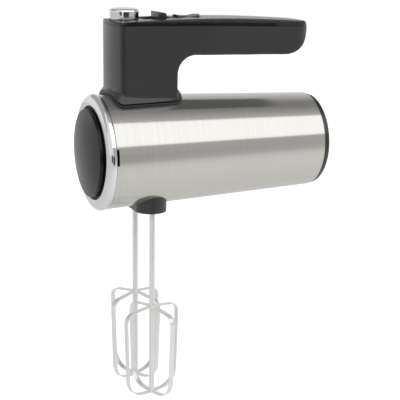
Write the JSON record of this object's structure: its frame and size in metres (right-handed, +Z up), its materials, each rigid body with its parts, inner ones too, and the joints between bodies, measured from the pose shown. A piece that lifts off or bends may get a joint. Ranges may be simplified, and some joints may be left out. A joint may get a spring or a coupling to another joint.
{
  "type": "hand mixer",
  "caption": "Hand mixer with a tapered brushed steel barrel, a dark handle raised on a front post, an eject knob, a speed slider and two wire beaters.",
  "frame": {"origin": "middle of the grip, on the handle arm's centre line", "axes": "+X along the barrel from the nose to the heel, +Z up, -Z along the beaters, +Y across to the left of someone holding it with the nose forward"},
  "size_m": [0.1927, 0.0883, 0.3019],
  "materials": {
    "barrel_steel": "satin, brushed round the barrel",
    "bright_chrome": "bright plated",
    "beater_steel": "polished wire and strip",
    "charcoal_plastic": "fine matt texture",
    "nose_plastic": "satin, domed",
    "black_rubber": "matt",
    "nylon": "moulded, slightly glossy",
    "black_nylon": "moulded",
    "fastener_steel": "zinc plated",
    "ground_steel": "ground",
    "bronze": "sintered, oiled",
    "die_cast": "as cast",
    "laminated_iron": "stacked sheet",
    "copper_wire": "enamelled",
    "carbon": "sintered",
    "board_green": "lacquered",
    "capacitor_film": "dipped",
    "wire_red": "sleeved"
  },
  "bodies": {
    "housing": {"barrel_sleeve": "barrel_steel", "nose_ring": "bright_chrome", "nose_seal": "black_rubber", "nose_cap": "nose_plastic", "heel_cap": "charcoal_plastic", "heel_screws": "fastener_steel", "cord_gland": "black_rubber", "cord_clamp": "black_nylon", "cord_clamp_screws": "fastener_steel", "post_gasket": "black_rubber", "handle_shell": "charcoal_plastic", "handle_cover": "charcoal_plastic", "cover_screws": "fastener_steel", "handle_screws": "fastener_steel", "slider_track": "black_nylon", "socket_housing": "charcoal_plastic", "socket_screws": "fastener_steel", "gearbox_base": "nylon", "gearbox_lid": "nylon", "gearbox_screws": "fastener_steel", "spindle_bushes_lower": "bronze", "spindle_bushes_upper": "bronze", "motor_front_bracket": "die_cast", "motor_rear_bracket": "black_nylon", "motor_bolts": "fastener_steel", "shaft_bushes": "bronze", "stator_core": "laminated_iron", "field_coils": "copper_wire", "brush_holders": "bronze", "brush_springs": "ground_steel", "carbon_brushes": "carbon", "control_board": "board_green", "board_screws": "fastener_steel", "speed_switch": "black_nylon", "turbo_switch": "black_nylon", "suppressor": "capacitor_film", "heat_sink": "die_cast", "wire_loom": "wire_red", "eject_spring": "ground_steel", "turbo_spring": "ground_steel"},
    "armature": {"motor_shaft": "ground_steel", "worm": "ground_steel", "armature_core": "laminated_iron", "armature_windings": "copper_wire", "commutator": "copper_wire", "cooling_fan": "nylon"},
    "drive_left": {"spindle_left": "ground_steel", "gear_left": "nylon"},
    "drive_right": {"spindle_right": "ground_steel", "gear_right": "nylon"},
    "beater_near": {"beater_left": "beater_steel"},
    "beater_far": {"beater_right": "beater_steel"},
    "ejector": {"eject_knob": "bright_chrome", "eject_plunger": "black_nylon", "eject_yoke": "black_nylon"},
    "speed_slider": {"slider_thumb": "charcoal_plastic", "slider_carriage": "nylon"},
    "turbo": {"turbo_button": "charcoal_plastic"}
  },
  "joints": [
    {"name": "armature_spin", "type": "hinge", "parent": "housing", "child": "armature", "pos_m": [0, 0, -0.084], "axis": [1, 0, 0], "continuous": true},
    {"name": "drive_left_spin", "type": "hinge", "parent": "housing", "child": "drive_left", "pos_m": [-0.069, -0.019, -0.084], "axis": [0, 0, 1], "continuous": true},
    {"name": "drive_right_spin", "type": "hinge", "parent": "housing", "child": "drive_right", "pos_m": [-0.069, 0.019, -0.084], "axis": [0, 0, 1], "continuous": true},
    {"name": "eject_press", "type": "slide", "parent": "housing", "child": "ejector", "axis": [0, 0, -1], "range_m": [0, 0.005], "stiffness_N_per_m": 500, "springref_m": -0.006, "deforming": ["eject_spring"]},
    {"name": "beater_near_eject", "type": "slide", "parent": "drive_left", "child": "beater_near", "axis": [0, 0, -1], "range_m": [0, 0.005]},
    {"name": "beater_far_eject", "type": "slide", "parent": "drive_right", "child": "beater_far", "axis": [0, 0, -1], "range_m": [0, 0.005]},
    {"name": "speed_slide", "type": "slide", "parent": "housing", "child": "speed_slider", "axis": [-1, 0, 0], "range_m": [0, 0.0105]},
    {"name": "turbo_press", "type": "slide", "parent": "housing", "child": "turbo", "axis": [0, 0, -1], "range_m": [0, 0.0016], "stiffness_N_per_m": 300, "springref_m": -0.002, "deforming": ["turbo_spring"]}
  ],
  "couplings": [
    {"joint": "drive_left_spin", "follows": "armature_spin", "ratio": 0.076923},
    {"joint": "drive_right_spin", "follows": "armature_spin", "ratio": -0.076923},
    {"joint": "beater_near_eject", "follows": "eject_press", "ratio": 1},
    {"joint": "beater_far_eject", "follows": "eject_press", "ratio": 1}
  ]
}
